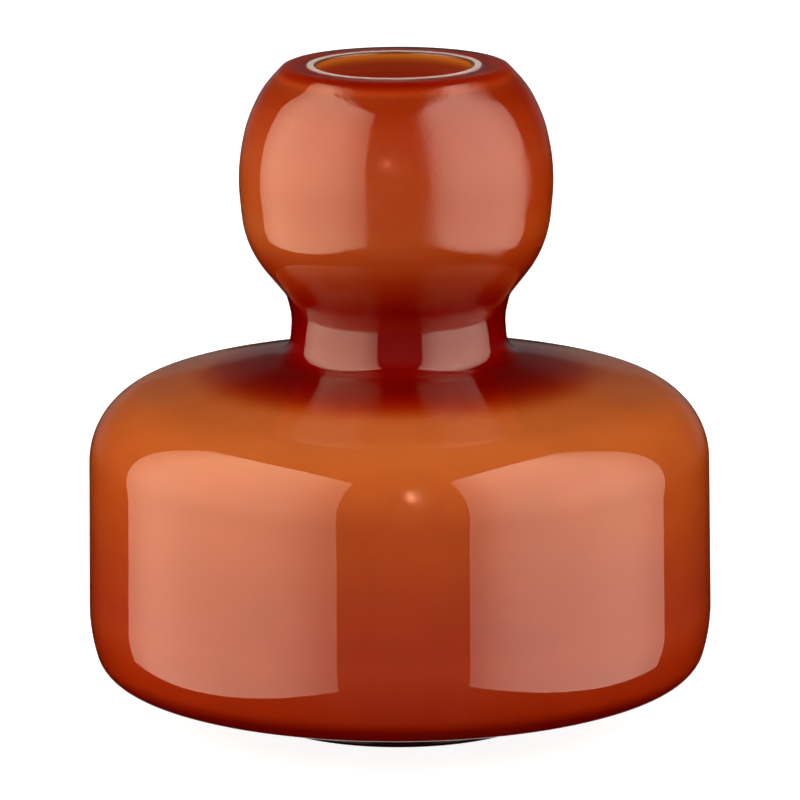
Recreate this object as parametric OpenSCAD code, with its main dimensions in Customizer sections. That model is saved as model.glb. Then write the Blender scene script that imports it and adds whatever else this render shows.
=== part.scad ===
// Squat bud vase in cased glass: a wide drum-shaped body, a short waisted neck and a
// ball-shaped top with a polished mouth. Every layer of glass is turned about +Z.
// Millimetres. The origin is the middle of the face that the foot rests on.

/* [Body] */
// Radius where the line of the wall meets the line of the shoulder
body_r = 49.3; // [47:0.1:52]
// How much wider the wall's line is low on the body than at the shoulder
body_flare = 0.5; // [0:0.1:0.6]
// Height of the body's base disc above the surface that the vase stands on
base_z = 3; // [2:0.1:4]
// Radius of the flat part of the base disc
base_r = 23.1; // [21:0.1:26]
// Height where the shoulder's line meets the wall's line
shoulder_z = 51.1; // [48:0.1:54]
// Radius of the round between the wall and the shoulder
shoulder_round = 12.2; // [8:0.1:14]

/* [Neck] */
// Outer radius of the neck at its narrowest
neck_r = 16.9; // [16.6:0.1:17.4]
// Height of the foot of the neck, where it rises out of the shoulder
neck_z = 58.8; // [56:0.1:60]
// Height of the waist of the neck
waist_z = 64.8; // [64:0.1:65]
// Height of the crease between the neck and the ball
crease_z = 68.4; // [68.2:0.1:69]

/* [Ball and mouth] */
// Widest radius of the lines round the ball
ball_r = 25.15; // [24.75:0.05:25.75]
// Height of the ball's widest corner
ball_z = 88.2; // [87.6:0.1:89]
// Overall height of the vase
height = 105; // [104:0.5:108]
// Radius where the ball's last line meets the flat top
top_r = 17.7; // [17.6:0.1:18.2]
// Outer radius of the pale ring round the mouth, the cut end of the opal layer
ring_r = 13.8; // [13.4:0.1:14.5]
// Round on the inner edge of the lip
lip_round = 0.3; // [0.1:0.05:0.35]

/* [Glass layers] */
// Thickness of the coloured casing at the shoulder, where it was blown thinnest
casing_shoulder = 1; // [0.8:0.1:1.4]
// Thickness of the coloured casing on the wall of the body
casing_wall = 1.3; // [1:0.1:1.7]
// Thickness of the coloured casing in the neck, where it stays thick
casing_neck = 3; // [2.4:0.1:3.1]
// Thickness of the coloured casing on the ball
casing_ball = 1.4; // [1.3:0.1:1.8]
// Thickness of the coloured casing under the flat top
casing_top = 2.4; // [2:0.1:2.8]
// Thickness of the coloured casing in the base disc
casing_base = 3; // [2.5:0.1:4]
// Thickness of the opal layer
opal_t = 1.1; // [0.9:0.1:1.3]
// Thickness of the amber lining
lining_t = 0.4; // [0.35:0.05:0.5]

/* [Foot] */
// Radius of the foot where it stands
foot_r = 24; // [22.5:0.1:24.5]
// Radius of the foot where it joins the base disc
foot_top_r = 22.6; // [20:0.1:23]
// Inner radius of the foot
foot_inner_r = 16.6; // [14:0.1:18]
// Round on the two edges that the foot stands on
foot_round = 0.6; // [0.3:0.1:0.8]
// Radius of the polished dish left by the pontil rod
pontil_r = 9; // [6:0.5:12]
// Depth of that dish
pontil_depth = 0.8; // [0.4:0.1:1.2]

/* [Hidden] */
$fn = 144;
arc_step = 5;        // degrees of turn between the points of a round
least_round = 0.3;   // smallest round left on an inset corner
mouth_round = 0.8;   // round where the casing turns up to the mouth
pontil_sphere = (pontil_r * pontil_r + pontil_depth * pontil_depth) / (2 * pontil_depth);

// The outside of the casing as corners [radius, height, round], from the base up to the mouth
outside = [
    [0, base_z, 0],
    [base_r, base_z, 8],
    [body_r + body_flare - 2, base_z + 4.5, 5],
    [body_r + body_flare, base_z + 11.4, 27],
    [body_r, shoulder_z, shoulder_round],
    [neck_r + 0.5, neck_z, 3.5],
    [neck_r, waist_z, 9.5],
    [neck_r + 0.9, crease_z, 2.6],
    [ball_r - 1.15, ball_z - 12, 17],
    [ball_r, ball_z, 30],
    [ball_r - 1.6, ball_z + 8.1, 22],
    [ball_r - 4.1, ball_z + 13.1, 14],
    [top_r, height, 1],
    [ring_r, height, 0]
];
// Casing thickness behind each line between two of those corners
casing_t = [
    casing_base,
    casing_base - 0.6,
    casing_wall + 0.5,
    casing_wall,
    casing_shoulder,
    casing_neck - 0.1,
    casing_neck,
    casing_ball + 0.9,
    casing_ball,
    casing_ball,
    casing_ball + 0.2,
    casing_ball + 0.4,
    casing_top
];

function heading(p, q) = (q - p) / norm(q - p);
function inward(d) = [-d.y, d.x];
function flat(c) = [c.x, c.y];
// The point where the line through p along d meets the line through q along e
function meet(p, d, q, e) = p + d * cross(q - p, e) / cross(d, e);
// A number above 0 where the outline turns left, which is a bulge, and below 0 in a hollow
function turn(a, b, c) = cross(heading(a, b), heading(b, c));

// Points of the round of radius r on corner b, between its neighbours a and c
function round_points(a, b, c, r) =
    let (
        u = heading(b, a),
        v = heading(b, c),
        half = acos(u * v) / 2,
        centre = b + heading([0, 0], u + v) * r / sin(half),
        from = b + u * r / tan(half) - centre,
        start = atan2(from.y, from.x),
        sweep = sign(turn(a, b, c)) * (180 - 2 * half),
        steps = max(2, ceil(abs(sweep) / arc_step))
    )
    [for (k = [0:steps]) centre + r * [cos(start + sweep * k / steps), sin(start + sweep * k / steps)]];

// The points along a list of corners, with every corner that has a round made round
function rounded(corners) = [
    for (i = [0:len(corners) - 1])
        let (b = flat(corners[i]), r = corners[i][2])
            if (r == 0) b
            else each round_points(flat(corners[i - 1]), b, flat(corners[i + 1]), r)
];

// The corners of the surface that lies depth[i] plus extra behind line i of the outside, and
// that turns up to the mouth along a cylinder of radius ring_r less extra
function behind(depth, extra) =
    let (
        n = len(outside),
        way = [for (i = [0:n - 2]) heading(flat(outside[i]), flat(outside[i + 1]))],
        t = [for (i = [0:n - 2]) depth[i] + extra],
        on = [for (i = [0:n - 2]) flat(outside[i]) + inward(way[i]) * t[i]],
        mouth_r = ring_r - extra
    )
    [
        [0, on[0].y, 0],
        for (i = [1:n - 2])
            let (
                b = meet(on[i - 1], way[i - 1], on[i], way[i]),
                bend = cross(way[i - 1], way[i]),
                // a bulge's round shrinks by the depth, and a hollow's grows with its bend
                r = outside[i][2] - (bend > 0 ? 1 : bend) * (t[i - 1] + t[i]) / 2
            )
            [b.x, b.y, max(r, least_round)],
        [mouth_r, on[n - 2].y, mouth_round + extra],
        [mouth_r, height, 0]
    ];

// The glass between an outer and an inner list of corners. Where the two lists end at one
// sharp edge, shared is 1, so that its point is used once.
module layer(outer_corners, inner_corners, shared = 0) {
    outer_points = rounded(outer_corners);
    inner_points = rounded(inner_corners);
    last_point = len(inner_points) - 1 - shared;
    rotate_extrude()
        polygon(concat(outer_points, [for (i = [last_point:-1:0]) inner_points[i]]));
}

casing_back = behind(casing_t, 0);
opal_back = behind(casing_t, opal_t);
lining_back = behind(casing_t, opal_t + lining_t);
last = len(lining_back) - 1;
// The lining's inner surface, with its round lip in place of the sharp last corner
lining_lip = [
    for (i = [0:last - 1]) lining_back[i],
    [lining_back[last].x, height, lip_round],
    [lining_back[last].x + lining_t, height, 0]
];

// Coloured outer glass, thick in the neck and thin on the shoulder
module outer_casing() {
    color([0.80, 0.27, 0.09])
        difference() {
            layer(outside, casing_back, shared = 1);
            translate([0, 0, base_z + pontil_depth - pontil_sphere])
                sphere(r = pontil_sphere);
        }
}

// Milky glass in the middle of the wall, whose cut end is the pale ring at the mouth
module opal_layer() {
    color([0.93, 0.80, 0.72])
        layer(casing_back, opal_back);
}

// Thin amber glass on the inside
module inner_lining() {
    color([0.85, 0.42, 0.08])
        layer(opal_back, lining_lip, shared = 1);
}

// Dark foot, ground flat where it stands
module foot_ring() {
    color([0.12, 0.03, 0.03])
        rotate_extrude()
            polygon(rounded([
                [foot_inner_r, base_z, 0],
                [foot_inner_r, 0, foot_round],
                [foot_r, 0, foot_round],
                [foot_top_r, base_z, 0]
            ]));
}

outer_casing();
opal_layer();
inner_lining();
foot_ring();
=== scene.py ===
"""A squat bud vase in cased glass, blown by hand: its looks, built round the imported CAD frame.

The four CAD nodes are replaced by finer meshes of the same layers. They keep the CAD outline and
add what turning in CAD can't give: a ball that sits a little off the axis, glass that gathers
thick and thin, and surfaces that meet without lying in one another. Outlines are in millimetres
until they are turned.
"""
import math

import bpy
import numpy as np
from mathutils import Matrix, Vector


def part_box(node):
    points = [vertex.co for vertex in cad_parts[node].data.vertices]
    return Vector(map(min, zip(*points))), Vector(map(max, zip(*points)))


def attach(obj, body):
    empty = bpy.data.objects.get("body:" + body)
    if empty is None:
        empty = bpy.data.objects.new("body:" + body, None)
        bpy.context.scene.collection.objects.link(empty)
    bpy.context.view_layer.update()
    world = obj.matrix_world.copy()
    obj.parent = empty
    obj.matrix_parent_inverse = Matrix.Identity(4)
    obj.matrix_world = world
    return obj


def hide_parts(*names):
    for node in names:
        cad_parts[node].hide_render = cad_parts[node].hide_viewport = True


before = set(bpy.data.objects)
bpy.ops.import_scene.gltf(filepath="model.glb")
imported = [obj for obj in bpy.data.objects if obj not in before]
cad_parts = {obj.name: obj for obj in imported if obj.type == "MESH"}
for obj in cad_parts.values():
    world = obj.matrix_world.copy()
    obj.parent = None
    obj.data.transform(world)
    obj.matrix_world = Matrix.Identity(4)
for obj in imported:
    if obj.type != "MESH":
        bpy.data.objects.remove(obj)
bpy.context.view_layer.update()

MM = 0.001
WARM_WHITE = (1.0, 0.91, 0.82)

# ---------------------------------------------------------------- the outline, as in the CAD part
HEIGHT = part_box("outer_casing")[1][2] / MM
BODY_R = 49.3
BODY_FLARE = 0.5
BASE_Z, BASE_R = 3.0, 23.1
SHOULDER_Z, SHOULDER_ROUND = 51.1, 12.2
NECK_R, NECK_Z, WAIST_Z, CREASE_Z = 16.9, 58.8, 64.8, 68.4
BALL_R, BALL_Z = 25.15, 88.2
TOP_R, RING_R = 17.7, 13.8
WALL, SHOULDER, NECK, BALL, TOP, BASE = 1.3, 1.0, 3.0, 1.4, 2.4, 3.0   # casing thickness
OPAL_T, LINING_T = 1.1, 0.4
FOOT_R, FOOT_TOP_R, FOOT_INNER_R, FOOT_ROUND = 24.0, 22.6, 16.6, 0.6
PONTIL_R, PONTIL_DEPTH = 9.0, 0.8
MOUTH_ROUND = 0.8
LEAST_ROUND = 0.3

# corners of the outside: radius, height, round
OUTSIDE = [
    (0, BASE_Z, 0),
    (BASE_R, BASE_Z, 8),
    (BODY_R + BODY_FLARE - 2, BASE_Z + 4.5, 5),
    (BODY_R + BODY_FLARE, BASE_Z + 11.4, 27),
    (BODY_R, SHOULDER_Z, SHOULDER_ROUND),
    (NECK_R + 0.5, NECK_Z, 3.5),
    (NECK_R, WAIST_Z, 9.5),
    (NECK_R + 0.9, CREASE_Z, 2.6),
    (BALL_R - 1.15, BALL_Z - 12, 17),
    (BALL_R, BALL_Z, 30),
    (BALL_R - 1.6, BALL_Z + 8.1, 22),
    (BALL_R - 4.1, BALL_Z + 13.1, 14),
    (TOP_R, HEIGHT, 1),
    (RING_R, HEIGHT, 0),
]
CASING_T = [BASE, BASE - 0.6, WALL + 0.5, WALL, SHOULDER, NECK - 0.1, NECK, BALL + 0.9, BALL, BALL,
            BALL + 0.2, BALL + 0.4, TOP]

SEGMENTS = 192        # round each turned mesh
STEP = 0.6            # mm between the points of an outline
FINE = 0.1            # mm between its points while it is worked out
SOFTEN = 0.3          # mm, how far the blown surfaces even out the outline's arcs
SINK = 0.05           # mm that a layer's back is sunk into the layer behind it

# ---------------------------------------------------------------- how hand blowing moved the glass
BALL_OFF = -0.25      # mm, the ball's axis to the left of the body's
OPAL_SLIP = -0.2      # mm, the opal's axis in the ball against the casing's: thinner glass on the left
GATHER = 2.8          # mm of extra casing round the foot of the neck
THICK_NECK = 0.6      # mm of extra casing in the neck
THIN = 0.45           # mm of casing blown away low on the ball
THIN_TOP = 0.5        # mm of casing ground away above the opal under the flat top


def cross(a, b):
    return a[0] * b[1] - a[1] * b[0]


def meet(p, d, q, e):
    """The point where the line through p along d meets the line through q along e."""
    return p + d * cross(q - p, e) / cross(d, e)


def heading(p, q):
    return (q - p) / np.linalg.norm(q - p)


def behind(extra):
    """Corners of the surface that lies the casing's thickness plus extra behind the outside."""
    at = [np.array(corner[:2], float) for corner in OUTSIDE]
    lines = len(at) - 1
    way = [heading(at[i], at[i + 1]) for i in range(lines)]
    depth = [t + extra for t in CASING_T]
    on = [at[i] + np.array((-way[i][1], way[i][0])) * depth[i] for i in range(lines)]
    corners = [(0, on[0][1], 0)]
    for i in range(1, lines):
        x, z = meet(on[i - 1], way[i - 1], on[i], way[i])
        bend = min(cross(way[i - 1], way[i]), 1)
        inset = (1 if bend > 0 else bend) * (depth[i - 1] + depth[i]) / 2
        corners.append((x, z, max(OUTSIDE[i][2] - inset, LEAST_ROUND)))
    corners.append((RING_R - extra, on[-1][1], MOUTH_ROUND + extra))
    corners.append((RING_R - extra, HEIGHT, 0))
    return corners


def arc(before, corner, after, radius):
    """Points of the round of that radius on a corner."""
    u, v = heading(corner, before), heading(corner, after)
    half = math.acos(np.clip(u @ v, -1, 1)) / 2
    centre = corner + heading(np.zeros(2), u + v) * radius / math.sin(half)
    start = corner + u * radius / math.tan(half) - centre
    sweep = math.copysign(math.pi - 2 * half, cross(-u, v))
    turns = np.linspace(0, sweep, max(3, math.ceil(abs(sweep) * radius / FINE)))
    return [centre + (start[0] * math.cos(a) - start[1] * math.sin(a),
                      start[0] * math.sin(a) + start[1] * math.cos(a)) for a in turns]


def outline(corners, step=STEP, soften=0.0):
    """The corners with their rounds, evenly spaced and, where soften says so, evened out."""
    points = []
    for i, (x, z, radius) in enumerate(corners):
        here = np.array((x, z), float)
        if radius == 0:
            points.append(here)
        else:
            before, after = (np.array(corners[j][:2], float) for j in (i - 1, i + 1))
            points.extend(arc(before, here, after, radius))
    points = np.array(points)
    run = np.concatenate(([0], np.cumsum(np.linalg.norm(np.diff(points, axis=0), axis=1))))
    fine = np.linspace(0, run[-1], max(8, round(run[-1] / FINE)) + 1)
    even = np.stack([np.interp(fine, run, points[:, k]) for k in (0, 1)], axis=1)
    if soften:
        reach = np.arange(-4 * soften, 4 * soften + FINE / 2, FINE)
        weight = np.exp(-0.5 * (reach / soften) ** 2)
        weight /= weight.sum()
        pad = len(reach) // 2
        # the outline is carried on past both ends, point-mirrored, so that the ends stay put
        first, last = even[0], even[-1]
        long = np.concatenate((2 * first - even[pad:0:-1], even, 2 * last - even[-2:-pad - 2:-1]))
        even = np.stack([np.convolve(long[:, k], weight, "valid") for k in (0, 1)], axis=1)
    count = max(4, round(run[-1] / step))
    pick = np.linspace(0, len(even) - 1, count + 1)
    index = np.arange(len(even))
    return np.stack([np.interp(pick, index, even[:, k]) for k in (0, 1)], axis=1)


def ease(x, low, high):
    """0 below low, 1 above high and smooth between."""
    t = np.clip((x - low) / (high - low), 0, 1)
    return t * t * (3 - 2 * t)


def gathered(points):
    """Moves the back of the casing: down round the foot of the neck and in within the neck, where
    the glass gathered thick, and out low on the ball, where it was blown thin."""
    shifted = points.copy()
    radius, height = points[:, 0], points[:, 1]
    on_shoulder = ease(height, 40, 50) * (1 - ease(height, 57, 62))
    shifted[:, 1] -= GATHER * (1 - ease(radius, 18, 34)) * on_shoulder
    shifted[:, 0] -= THICK_NECK * ease(height, 53, 58) * (1 - ease(height, 66, 72))
    low_on_ball = THIN * ease(height, 69, 73.5) * (1 - ease(height, 77, 85))
    shifted[:, 0] += low_on_ball * 0.8
    shifted[:, 1] -= low_on_ball * 0.6
    shifted[:, 1] += THIN_TOP * ease(radius, 13.8, 15.2) * ease(height, 100.4, 102.0)
    return shifted


def blown(points, slip):
    """Moves the turned glass as hand blowing did. Slip moves a layer sideways within the ball."""
    moved = points.copy()
    moved[:, 0] += (BALL_OFF + slip) * ease(points[:, 2], 66, 80)
    return moved


def turned(name, loop, material, slip=None):
    """A closed outline turned about Z into a mesh that rides on the vase. A blown piece has a slip
    for each point of its outline."""
    on_axis = loop[:, 0] < 1e-6
    angles = np.arange(SEGMENTS) * 2 * math.pi / SEGMENTS
    rows, points = [], []
    for (radius, height), single in zip(loop, on_axis):
        if single:
            rows.append([len(points)] * SEGMENTS)
            points.append((0.0, 0.0, height))
        else:
            rows.append(list(range(len(points), len(points) + SEGMENTS)))
            points.extend((radius * math.cos(a), radius * math.sin(a), height) for a in angles)
    faces = []
    closes = not on_axis[0]
    for i in range(len(rows) if closes else len(rows) - 1):
        low, high = rows[i], rows[(i + 1) % len(rows)]
        for k in range(SEGMENTS):
            n = (k + 1) % SEGMENTS
            face = []
            for index in (low[k], low[n], high[n], high[k]):
                if index not in face:
                    face.append(index)
            if len(face) > 2:
                faces.append(face)
    points = np.array(points)
    if slip is not None:
        slips = np.repeat(slip, [1 if single else SEGMENTS for single in on_axis])
        points = blown(points, slips)
    mesh = bpy.data.meshes.new(name)
    mesh.from_pydata((points * MM).tolist(), [], faces)
    mesh.validate()
    mesh.polygons.foreach_set("use_smooth", [True] * len(mesh.polygons))
    piece = bpy.data.objects.new(name, mesh)
    bpy.context.scene.collection.objects.link(piece)
    mesh.materials.append(material)
    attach(piece, "root")
    return piece


# ---------------------------------------------------------------- materials
def new_material(name):
    material = bpy.data.materials.new(name)
    material.use_nodes = True
    nodes = material.node_tree.nodes
    return material, material.node_tree, nodes["Principled BSDF"], nodes["Material Output"]


def noise(tree, coordinate, scale, detail=2.0, roughness=0.5):
    node = tree.nodes.new("ShaderNodeTexNoise")
    node.inputs["Scale"].default_value = scale
    node.inputs["Detail"].default_value = detail
    node.inputs["Roughness"].default_value = roughness
    tree.links.new(coordinate, node.inputs["Vector"])
    return node.outputs["Fac"]


def remap(tree, value, low, high, to_low, to_high):
    """The value taken smoothly from one range to another, and held at its ends."""
    node = tree.nodes.new("ShaderNodeMapRange")
    node.interpolation_type = "SMOOTHSTEP"
    numbers = {"From Min": low, "From Max": high, "To Min": to_low, "To Max": to_high}
    for socket, number in numbers.items():
        node.inputs[socket].default_value = number
    tree.links.new(value, node.inputs["Value"])
    return node.outputs["Result"]


def combined(tree, operation, a, b=None):
    """One or two values put through a Math node. The second may be a number."""
    node = tree.nodes.new("ShaderNodeMath")
    node.operation = operation
    tree.links.new(a, node.inputs[0])
    if isinstance(b, float):
        node.inputs[1].default_value = b
    elif b is not None:
        tree.links.new(b, node.inputs[1])
    return node.outputs[0]


def times(tree, a, b):
    return combined(tree, "MULTIPLY", a, b)


def axes(tree, vector):
    """The X, Y and Z of a vector."""
    split = tree.nodes.new("ShaderNodeSeparateXYZ")
    tree.links.new(vector, split.inputs[0])
    return [split.outputs[axis] for axis in "XYZ"]


def object_place(tree):
    """The place on the object in metres, and its height."""
    place = tree.nodes.new("ShaderNodeTexCoord").outputs["Object"]
    return place, axes(tree, place)[2]


def ramp(tree, value, stops):
    """A colour ramp over heights in metres."""
    low, high = stops[0][0], stops[-1][0]
    scaled = tree.nodes.new("ShaderNodeMapRange")
    scaled.inputs["From Min"].default_value = low
    scaled.inputs["From Max"].default_value = high
    tree.links.new(value, scaled.inputs["Value"])
    node = tree.nodes.new("ShaderNodeValToRGB")
    elements = node.color_ramp.elements
    while len(elements) < len(stops):
        elements.new(0.5)
    for element, (height, colour) in zip(elements, stops):
        element.position = (height - low) / (high - low)
        element.color = (*colour, 1)
    tree.links.new(scaled.outputs["Result"], node.inputs["Fac"])
    return node.outputs["Color"]


def casing_glass():
    """Clear orange-red glass: the deeper the glass, the redder and darker."""
    material, tree, glass, output = new_material("casing_glass")
    glass.inputs["Base Color"].default_value = (1.0, 0.96, 0.93, 1)
    glass.inputs["Transmission Weight"].default_value = 1.0
    glass.inputs["IOR"].default_value = 1.5
    place, height = object_place(tree)
    smudge = remap(tree, noise(tree, place, 60, 3), 0.35, 0.75, 0.0, 0.03)
    tree.links.new(smudge, glass.inputs["Roughness"])
    # chill marks: fine dimples in patches on the right of the ball
    dimples = noise(tree, place, 2600, 1)
    patches = remap(tree, noise(tree, place, 90, 1), 0.40, 0.60, 0.15, 1.0)
    on_ball = remap(tree, height, 0.070, 0.080, 0.0, 1.0)
    to_the_right = remap(tree, axes(tree, place)[0], -0.014, -0.003, 0.0, 1.0)
    bump = tree.nodes.new("ShaderNodeBump")
    bump.inputs["Distance"].default_value = 0.00006
    bump.inputs["Strength"].default_value = 1.0
    where = times(tree, times(tree, patches, on_ball), to_the_right)
    tree.links.new(times(tree, dimples, where), bump.inputs["Height"])
    tree.links.new(bump.outputs["Normal"], glass.inputs["Normal"])
    # lamps shine through the casing onto the opal
    clear = tree.nodes.new("ShaderNodeBsdfTransparent")
    path = tree.nodes.new("ShaderNodeLightPath")
    mix = tree.nodes.new("ShaderNodeMixShader")
    tree.links.new(path.outputs["Is Shadow Ray"], mix.inputs["Fac"])
    tree.links.new(glass.outputs["BSDF"], mix.inputs[1])
    tree.links.new(clear.outputs["BSDF"], mix.inputs[2])
    tree.links.new(mix.outputs["Shader"], output.inputs["Surface"])
    depth = tree.nodes.new("ShaderNodeVolumeAbsorption")
    depth.inputs["Color"].default_value = (0.888, 0.492, 0.077, 1)
    depth.inputs["Density"].default_value = 1300
    tree.links.new(depth.outputs["Volume"], output.inputs["Volume"])
    return material


def opal_glass():
    """Milky glass: a warm white with faint cords in it, coloured by height partly with painted light and
    shade.
    """
    material, tree, opal, _ = new_material("opal_glass")
    place, height = object_place(tree)
    # colour by height, partly the opal's own tint and partly painted light and shade: darker and redder
    # low on the body, where less light falls from above, lightest at the shoulder, deep red in the neck,
    # and bands up the ball and under the flat top set to how bright each looks under the lights
    tint_and_painted_light = ramp(tree, height, [(0.006, (0.80, 0.56, 0.60)), (0.022, (0.66, 0.36, 0.55)),
                               (0.030, (0.70, 0.48, 0.60)), (0.037, (0.78, 0.66, 0.62)),
                               (0.050, (0.84, 0.82, 0.66)), (0.055, (0.84, 0.76, 0.66)),
                               (0.059, (0.90, 0.16, 0.60)), (0.068, (0.90, 0.16, 0.60)),
                               (0.073, (0.84, 0.54, 0.60)), (0.080, (0.82, 0.70, 0.66)),
                               (0.090, (0.76, 0.60, 0.60)), (0.0980, (0.70, 0.52, 0.60)),
                               (0.1022, (0.56, 0.42, 0.50)), (0.1034, (0.84, 0.62, 0.60)),
                               (0.1045, (0.40, 0.31, 0.29))])
    cords = remap(tree, noise(tree, place, 110, 3), 0.3, 0.7, 0.94, 1.0)
    shaded = tree.nodes.new("ShaderNodeVectorMath")
    shaded.operation = "SCALE"
    tree.links.new(tint_and_painted_light, shaded.inputs[0])
    tree.links.new(cords, shaded.inputs["Scale"])
    tree.links.new(shaded.outputs["Vector"], opal.inputs["Base Color"])
    opal.inputs["Specular IOR Level"].default_value = 0.0
    tree.links.new(remap(tree, cords, 0.94, 1.0, 0.45, 0.3), opal.inputs["Roughness"])
    return material


def lining_glass():
    """Thin amber glass over the opal, on the inside."""
    material, tree, lining, _ = new_material("lining_glass")
    place, height = object_place(tree)
    # colour by height, partly the amber's own tint and partly painted light: lighter up the inside, and
    # the last stops set the ceiling of the ball and the lip, lit through the milky glass, with a painted
    # highlight on the straight lip and a dark line at its very edge
    tint_and_painted_light = ramp(tree, height, [(0.0, (0.22, 0.03, 0.02)), (0.1010, (0.33, 0.08, 0.045)),
                               (0.1023, (0.24, 0.042, 0.020)), (0.1030, (0.20, 0.032, 0.009)),
                               (0.1036, (0.26, 0.055, 0.010)), (0.1042, (0.35, 0.120, 0.012)),
                               (0.1047, (0.60, 0.20, 0.030)), (0.1048, (0.12, 0.036, 0.014))])
    tree.links.new(tint_and_painted_light, lining.inputs["Base Color"])
    waves = noise(tree, place, 90, 3)
    tree.links.new(remap(tree, waves, 0.3, 0.7, 0.04, 0.10), lining.inputs["Roughness"])
    return material


def foot_glass():
    """Glass coloured nearly black, ground where it stands."""
    material, tree, foot, _ = new_material("foot_glass")
    place, height = object_place(tree)
    foot.inputs["Base Color"].default_value = (0.012, 0.002, 0.003, 1)
    foot.inputs["Specular IOR Level"].default_value = 0.1
    worn = noise(tree, place, 400, 4)
    tree.links.new(remap(tree, height, 0.00005, 0.0006, 0.4, 0.08), foot.inputs["Roughness"])
    bump = tree.nodes.new("ShaderNodeBump")
    bump.inputs["Distance"].default_value = 0.00001
    tree.links.new(worn, bump.inputs["Height"])
    tree.links.new(bump.outputs["Normal"], foot.inputs["Normal"])
    return material


# ---------------------------------------------------------------- pieces
def pontil_dish(loop):
    """Lifts the middle of the casing's underside into the shallow polished dish."""
    sphere = (PONTIL_R ** 2 + PONTIL_DEPTH ** 2) / (2 * PONTIL_DEPTH)
    lifted = loop.copy()
    under = (loop[:, 1] < BASE_Z + 0.01) & (loop[:, 0] < PONTIL_R)
    rise = np.sqrt(sphere ** 2 - loop[under, 0] ** 2) - (sphere - PONTIL_DEPTH)
    lifted[under, 1] += rise
    return lifted


def build_casing(material):
    lip = 0.03    # mm that the casing's polished top lies below the opal
    corners = OUTSIDE[:-1] + [(RING_R - SINK, HEIGHT, 0)]
    front = pontil_dish(outline(corners, soften=SOFTEN))
    front[:, 1] = np.minimum(front[:, 1], HEIGHT - lip)
    back = gathered(outline(behind(SINK), soften=SOFTEN))
    back[:, 1] = np.minimum(back[:, 1], HEIGHT - lip)
    loop = np.concatenate((front[:-1], back[::-1]))
    slip = np.where(np.arange(len(loop)) < len(front) - 1, 0, OPAL_SLIP)
    return turned("blown_casing", loop, material, slip=slip)


def build_opal(material):
    front = gathered(outline(behind(0), soften=SOFTEN))
    back = gathered(outline(behind(OPAL_T), soften=SOFTEN))
    # the cut end is a low bead
    rise = 0.05   # mm
    across = np.linspace(0, 1, 9)[1:-1]
    bead = np.stack([RING_R - OPAL_T * across, HEIGHT - rise + rise * np.sin(math.pi * across)], axis=1)
    front[-1, 1] = back[-1, 1] = HEIGHT - rise
    loop = np.concatenate((front, bead, back[::-1]))
    return turned("blown_opal", loop, material, slip=np.full(len(loop), OPAL_SLIP))


def build_lining(material):
    front = gathered(outline(behind(OPAL_T - SINK), soften=SOFTEN))
    back = gathered(outline(behind(OPAL_T + LINING_T), soften=SOFTEN))
    lip, rounding = HEIGHT - 0.06, 0.2
    front[:, 1] = np.minimum(front[:, 1], lip)
    back[:, 1] = np.minimum(back[:, 1], lip - rounding)
    across = np.linspace(0, math.pi / 2, 6)[1:-1]
    width = LINING_T + SINK
    bead = np.stack([RING_R - OPAL_T + SINK - width * np.sin(across),
                     lip - rounding + rounding * np.cos(across)], axis=1)
    loop = np.concatenate((front, bead, back[::-1]))
    return turned("blown_lining", loop, material, slip=np.full(len(loop), OPAL_SLIP))


def build_foot(material):
    top = BASE_Z + 0.3    # mm, a little way into the base disc
    corners = [(FOOT_INNER_R, top, 0), (FOOT_INNER_R, 0, FOOT_ROUND),
               (FOOT_R, 0, FOOT_ROUND), (FOOT_TOP_R, top, 0)]
    return turned("ground_foot", outline(corners, step=0.25), material)


PIECES = (
    (build_casing, casing_glass, "outer_casing", "casing_glass"),
    (build_opal, opal_glass, "opal_layer", "opal_glass"),
    (build_lining, lining_glass, "inner_lining", "lining_glass"),
    (build_foot, foot_glass, "foot_ring", "foot_glass"),
)
for build, make_material, node, slot in PIECES:
    piece = build(make_material())
    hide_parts(node)


# ---------------------------------------------------------------- camera, floor and light
def aimed(obj, place, target):
    obj.location = place
    obj.rotation_euler = (Vector(target) - Vector(place)).to_track_quat("-Z", "Y").to_euler()
    bpy.context.scene.collection.objects.link(obj)


def place_camera():
    distance, elevation, aim_z, aside = 1.0, math.radians(12.52), 0.05086, 0.00016
    data = bpy.data.cameras.new("camera")
    data.lens = 282.6
    data.clip_start = 0.05
    camera = bpy.data.objects.new("camera", data)
    place = (aside, -distance * math.cos(elevation), aim_z + distance * math.sin(elevation))
    aimed(camera, place, (aside, 0, aim_z))
    camera.rotation_euler.rotate_axis("Z", math.radians(-0.33))
    bpy.context.scene.camera = camera


def fade_to_the_sides(data):
    """Makes a panel brightest down its middle and dimmer low down."""
    data.use_nodes = True
    tree = data.node_tree
    geometry = tree.nodes.new("ShaderNodeNewGeometry").outputs
    across = axes(tree, geometry["Parametric"])[0]
    middle = combined(tree, "SINE", times(tree, across, math.pi))
    upright = remap(tree, axes(tree, geometry["Position"])[2], -0.05, 0.15, 0.85, 1.0)
    strength = times(tree, remap(tree, middle, 0.0, 1.0, 0.45, 1.0), upright)
    tree.links.new(strength, tree.nodes["Emission"].inputs["Strength"])


def area_lamp(name, place, target, width, height, radiance, colour):
    data = bpy.data.lights.new(name, "AREA")
    data.shape = "RECTANGLE"
    data.size, data.size_y = width, height
    data.color = colour
    data.energy = radiance * width * height * math.pi
    lamp = bpy.data.objects.new(name, data)
    lamp.visible_camera = False
    aimed(lamp, place, target)
    return lamp


def light_only(lamp):
    """Keeps a lamp out of reflections and gives all of its light to lamp sampling, as rays that
    leave the opal can't find it through the casing."""
    lamp.visible_glossy = False
    lamp.data.cycles.use_multiple_importance_sampling = False


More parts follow.
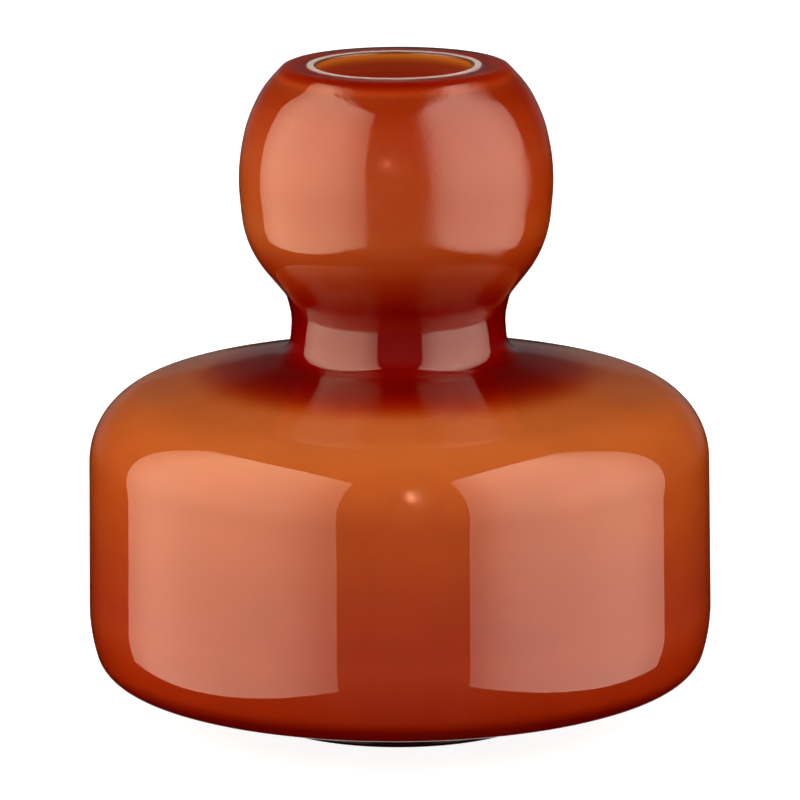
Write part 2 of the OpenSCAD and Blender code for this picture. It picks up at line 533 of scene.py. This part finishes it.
def softbox(name, azimuth, shift, width, bottom, top, mirrored, lit, colour):
    """A tall upright panel beside the vase. Azimuth is from the camera's side, + to the right.
    It is made of one lamp that the glass mirrors and a taller one that lights the glass."""
    reach, light_height = 0.6, 2.6
    a = math.radians(azimuth)
    out = Vector((math.sin(a), -math.cos(a), 0))
    along = Vector((math.cos(a), math.sin(a), 0))
    foot = out * reach + along * shift + Vector((0, 0, bottom))
    place = foot + Vector((0, 0, (top - bottom) / 2))
    panel = area_lamp(name + "_panel", place, place - out, width, top - bottom, mirrored, colour)
    panel.visible_diffuse = False
    fade_to_the_sides(panel.data)
    place = foot + Vector((0, 0, light_height / 2))
    light_only(area_lamp(name + "_light", place, place - out, width, light_height, lit, WARM_WHITE))


def build_floor():
    half, below = 4.0, -0.0001   # m, the second to keep the floor clear of the foot's face
    corners = [(x * half, y * half, below) for x, y in ((-1, -1), (1, -1), (1, 1), (-1, 1))]
    mesh = bpy.data.meshes.new("floor")
    mesh.from_pydata(corners, [], [(0, 1, 2, 3)])
    floor = bpy.data.objects.new("floor", mesh)
    bpy.context.scene.collection.objects.link(floor)
    material, tree, paint, _ = new_material("floor_paint")
    paint.inputs["Base Color"].default_value = (0.5, 0.5, 0.5, 1)
    paint.inputs["Emission Color"].default_value = (1, 1, 1, 1)
    paint.inputs["Emission Strength"].default_value = 0.9
    paint.inputs["Roughness"].default_value = 0.8
    mesh.materials.append(material)
    for ray in ("diffuse", "glossy", "transmission", "shadow"):
        setattr(floor, "visible_" + ray, False)


def build_world():
    """White to the camera, a dim studio in reflections, and a faint fill otherwise."""
    world = bpy.data.worlds.new("studio")
    bpy.context.scene.world = world
    world.use_nodes = True
    tree = world.node_tree
    background = tree.nodes["Background"]
    across, back, up = axes(tree, tree.nodes.new("ShaderNodeTexCoord").outputs["Generated"])
    # in reflections: a grey wall behind, the pale table behind and below, a dim room in front
    wall = times(tree, remap(tree, up, -0.16, -0.06, 0.0, 1.0), remap(tree, up, 0.08, 0.16, 0.12, 0.05))
    wall = times(tree, wall, remap(tree, up, 0.30, 0.42, 1.0, 0.3))
    wall = times(tree, wall, remap(tree, back, 0.75, 0.98, 0.18, 1.0))
    aside = combined(tree, "ABSOLUTE", across)
    table = times(tree, remap(tree, up, -0.32, -0.28, 0.9, 0.0), remap(tree, up, -0.55, -0.45, 0.0, 1.0))
    table = times(tree, table, remap(tree, aside, 0.08, 0.2, 1.0, 0.0))
    table = times(tree, table, remap(tree, back, 0.5, 0.7, 0.0, 1.0))
    room = remap(tree, back, -1.0, -0.5, 0.10, 0.0)
    mirrored = combined(tree, "ADD", combined(tree, "ADD", wall, table), room)
    value = remap(tree, up, -0.2, 0.9, 0.05, 0.5)
    path = tree.nodes.new("ShaderNodeLightPath")
    for is_ray, seen in (("Is Glossy Ray", mirrored), ("Is Camera Ray", None)):
        mix = tree.nodes.new("ShaderNodeMix")
        tree.links.new(path.outputs[is_ray], mix.inputs["Factor"])
        tree.links.new(value, mix.inputs["A"])
        if seen is None:
            mix.inputs["B"].default_value = 1.0
        else:
            tree.links.new(seen, mix.inputs["B"])
        value = mix.outputs["Result"]
    tree.links.new(value, background.inputs["Color"])
    world.cycles.sampling_method = "NONE"


def inner_glow():
    """A small lamp in the ball for the light that comes in through the milky wall."""
    data = bpy.data.lights.new("inner_glow", "POINT")
    data.color = (1.0, 0.35, 0.1)
    data.energy = 0.008
    data.shadow_soft_size = 0.004
    lamp = bpy.data.objects.new("inner_glow", data)
    lamp.location = (BALL_OFF * MM, 0, BALL_Z * MM)
    lamp.visible_camera = lamp.visible_glossy = False
    bpy.context.scene.collection.objects.link(lamp)


place_camera()
softbox("softbox_left", -66.6, -0.067, 1.303, -0.326, 1.12, 5.3, 1.72, (1.0, 0.70, 0.50))
softbox("softbox_right", 72.1, -0.084, 1.137, -0.300, 1.22, 4.9, 1.58, (1.0, 0.74, 0.59))
light_only(area_lamp("overhead", (0, 0, 1.4), (0, 0, 0), 1.6, 1.6, 0.5, WARM_WHITE))
light_only(area_lamp("from_below", (0, 0, -0.5), (0, 0, 0), 1.6, 1.6, 0.33, WARM_WHITE))
light_only(area_lamp("from_the_front", (0, -1.2, 0.5), (0, 0, 0.06), 0.8, 0.8, 0.36, WARM_WHITE))
inner_glow()
build_floor()
build_world()
scene = bpy.context.scene
scene.view_settings.view_transform = "Standard"
scene.cycles.caustics_refractive = False
scene.cycles.caustics_reflective = False
scene.cycles.sample_clamp_indirect = 4.0   # limits how bright one indirect sample can be
